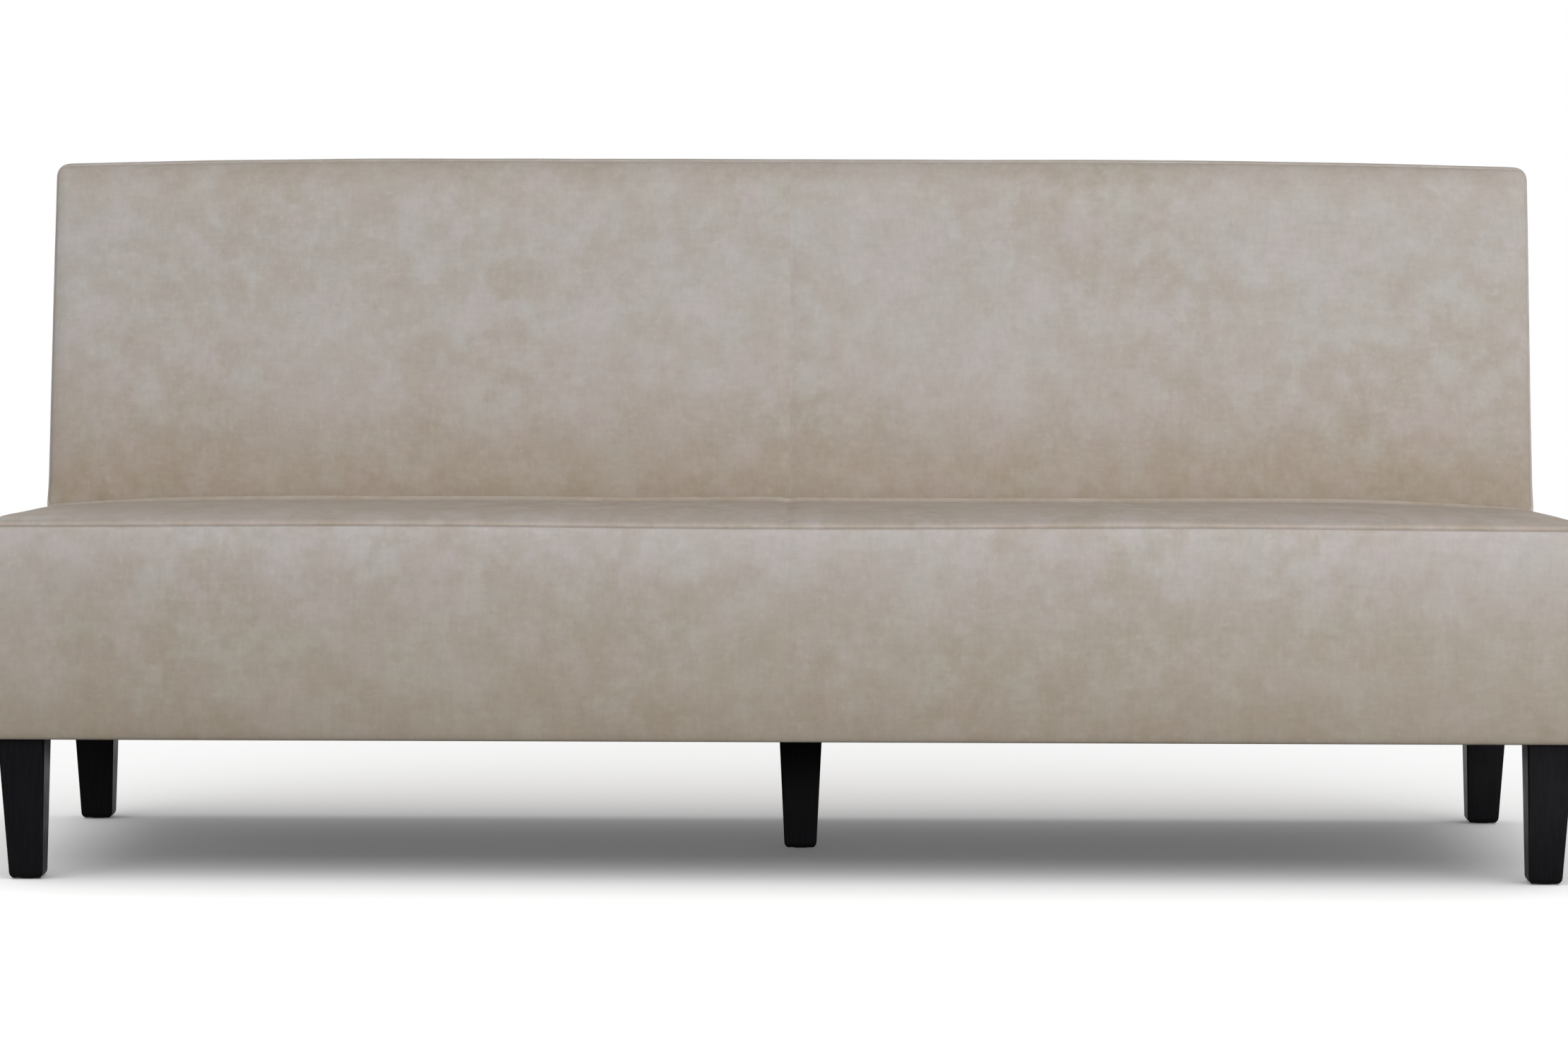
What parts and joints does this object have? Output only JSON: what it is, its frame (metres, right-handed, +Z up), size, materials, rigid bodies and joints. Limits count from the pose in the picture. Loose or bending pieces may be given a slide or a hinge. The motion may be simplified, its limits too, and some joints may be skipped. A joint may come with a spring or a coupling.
{
  "type": "armless sofa",
  "caption": "Armless sofa with a tight seat and a raked tight back in leather-look fabric, on short square tapered black legs.",
  "frame": {"origin": "on the floor, below the middle of the sofa's bounding box", "axes": "+X along the sofa, to the right in the front view, +Y from the front border to the outside back, +Z up"},
  "size_m": [2.055, 0.774, 0.93],
  "materials": {
    "upholstery": "leather-look suede microfibre, warm grey beige, matt",
    "black_leg": "black satin lacquer",
    "frame_timber": "sawn hardwood",
    "spring_steel": "bright",
    "foam": "open cell foam",
    "wadding": "polyester wadding",
    "felt": "felt",
    "webbing": "woven",
    "dust_cloth": "thin black nonwoven cloth",
    "glide_nylon": "matt"
  },
  "bodies": {
    "root": {"front_rail": "frame_timber", "rear_rail": "frame_timber", "left_side_rail": "frame_timber", "right_side_rail": "frame_timber", "centre_rail": "frame_timber", "front_left_block": "frame_timber", "front_right_block": "frame_timber", "rear_left_block": "frame_timber", "rear_right_block": "frame_timber", "left_back_post": "frame_timber", "right_back_post": "frame_timber", "centre_back_post": "frame_timber", "back_top_rail": "frame_timber", "back_lower_rail": "frame_timber", "frame_dowels": "frame_timber", "block_screws": "spring_steel", "post_bolts": "spring_steel", "seat_spring_01": "spring_steel", "seat_spring_02": "spring_steel", "seat_spring_03": "spring_steel", "seat_spring_04": "spring_steel", "seat_spring_05": "spring_steel", "seat_spring_06": "spring_steel", "seat_spring_07": "spring_steel", "seat_spring_08": "spring_steel", "seat_spring_09": "spring_steel", "seat_spring_10": "spring_steel", "seat_spring_11": "spring_steel", "seat_spring_12": "spring_steel", "seat_spring_13": "spring_steel", "seat_spring_14": "spring_steel", "spring_clips": "spring_steel", "tie_wires": "spring_steel", "leg_bolts": "spring_steel", "tee_nuts": "spring_steel", "back_webbing": "webbing", "spring_pad": "felt", "seat_foam": "foam", "back_foam": "foam", "seat_wadding": "wadding", "front_border_wadding": "wadding", "side_border_wadding": "wadding", "back_wadding": "wadding", "back_edge_wadding": "wadding", "seat_top_cover": "upholstery", "front_border_cover": "upholstery", "left_border_cover": "upholstery", "right_border_cover": "upholstery", "inside_back_cover": "upholstery", "back_boxing": "upholstery", "outside_back_cover": "upholstery", "dust_cover": "dust_cloth", "front_left_leg": "black_leg", "front_right_leg": "black_leg", "rear_left_leg": "black_leg", "rear_right_leg": "black_leg", "centre_leg": "black_leg", "leg_glides": "glide_nylon"}
  },
  "joints": []
}
